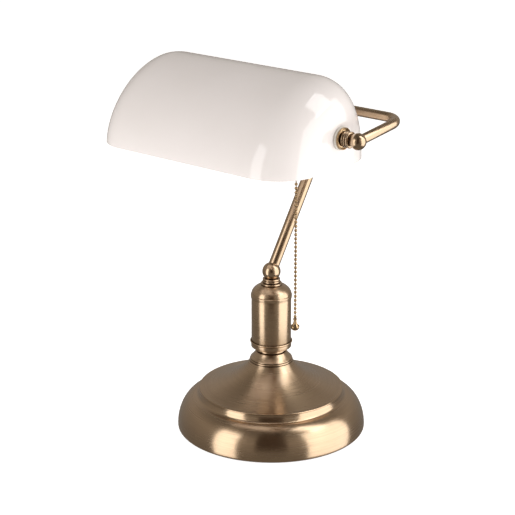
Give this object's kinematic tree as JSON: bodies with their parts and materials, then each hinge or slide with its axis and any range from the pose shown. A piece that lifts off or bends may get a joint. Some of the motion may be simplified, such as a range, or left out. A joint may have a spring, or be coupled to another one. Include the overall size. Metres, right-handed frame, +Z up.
{
  "type": "banker desk lamp",
  "caption": "Desk lamp with a weighted round foot, a short column, a bent stem, a U-shaped yoke, a tilting long glass shade and a bead pull chain.",
  "frame": {"origin": "centre of the felt pad's underside, where the lamp stands on the table", "axes": "+Z up, -Y to the lamp's front, X along the shade"},
  "size_m": [0.276, 0.2119, 0.3573],
  "materials": {
    "satin_brass": "satin antique",
    "polished_brass": "polished",
    "plated_steel": "zinc plated",
    "cast_iron": "rough",
    "opal_glass": "glossy opal white",
    "bulb_glass": "frosted",
    "felt": "felt",
    "pale_rubber": "matt",
    "insulation": "moulded"
  },
  "bodies": {
    "foot": {"base_shell": "satin_brass", "ballast_weight": "cast_iron", "felt_pad": "felt", "base_washer": "plated_steel", "base_nut": "plated_steel", "tie_rod": "plated_steel", "cord_grommet": "pale_rubber", "neck_ring": "satin_brass", "neck_bell": "satin_brass", "column_cup": "satin_brass", "column_sleeve": "satin_brass", "column_cap": "satin_brass", "cap_flange": "satin_brass", "swivel_collar": "satin_brass"},
    "arm": {"stem_ball": "satin_brass", "stem_tube": "satin_brass", "yoke_hub": "satin_brass", "yoke_arm_right": "satin_brass", "yoke_arm_left": "satin_brass", "pivot_ball_right": "satin_brass", "pivot_ball_left": "satin_brass", "thumb_nut_right": "satin_brass", "thumb_nut_left": "satin_brass", "outer_washer_right": "polished_brass", "outer_washer_left": "polished_brass", "pivot_nipple_right": "plated_steel", "pivot_screw_left": "plated_steel", "inner_nut_right": "plated_steel", "inner_nut_left": "plated_steel", "holder_cap": "polished_brass", "holder_shell": "polished_brass", "holder_insulator": "insulation", "centre_contact": "polished_brass", "bulb_cap": "plated_steel", "bulb_globe": "bulb_glass", "chain_guide": "polished_brass"},
    "shade": {"glass_shade": "opal_glass", "outer_gasket_right": "pale_rubber", "outer_gasket_left": "pale_rubber", "inner_gasket_right": "pale_rubber", "inner_gasket_left": "pale_rubber"},
    "pull": {"chain_stirrup": "polished_brass"},
    "chain_link": {"chain_top_bead": "polished_brass"},
    "chain": {"pull_chain": "polished_brass", "chain_knob": "polished_brass"}
  },
  "joints": [
    {"name": "stem_swivel", "type": "hinge", "parent": "foot", "child": "arm", "pos_m": [0, 0, 0.1483], "axis": [0, 0, 1], "range_deg": [-90, 90]},
    {"name": "shade_tilt", "type": "hinge", "parent": "arm", "child": "shade", "pos_m": [0, -0.0458, 0.3096], "axis": [1, 0, 0], "range_deg": [-45, 15]},
    {"name": "chain_pull", "type": "slide", "parent": "arm", "child": "pull", "axis": [0, 0, -1], "range_m": [0, 0.008], "stiffness_N_per_m": 400},
    {"name": "chain_swing_side", "type": "hinge", "parent": "pull", "child": "chain_link", "pos_m": [0.0655, -0.0458, 0.2876], "axis": [0, 1, 0], "range_deg": [-15, 15]},
    {"name": "chain_swing_front", "type": "hinge", "parent": "chain_link", "child": "chain", "pos_m": [0.0655, -0.0458, 0.2876], "axis": [1, 0, 0], "range_deg": [-15, 15]}
  ]
}
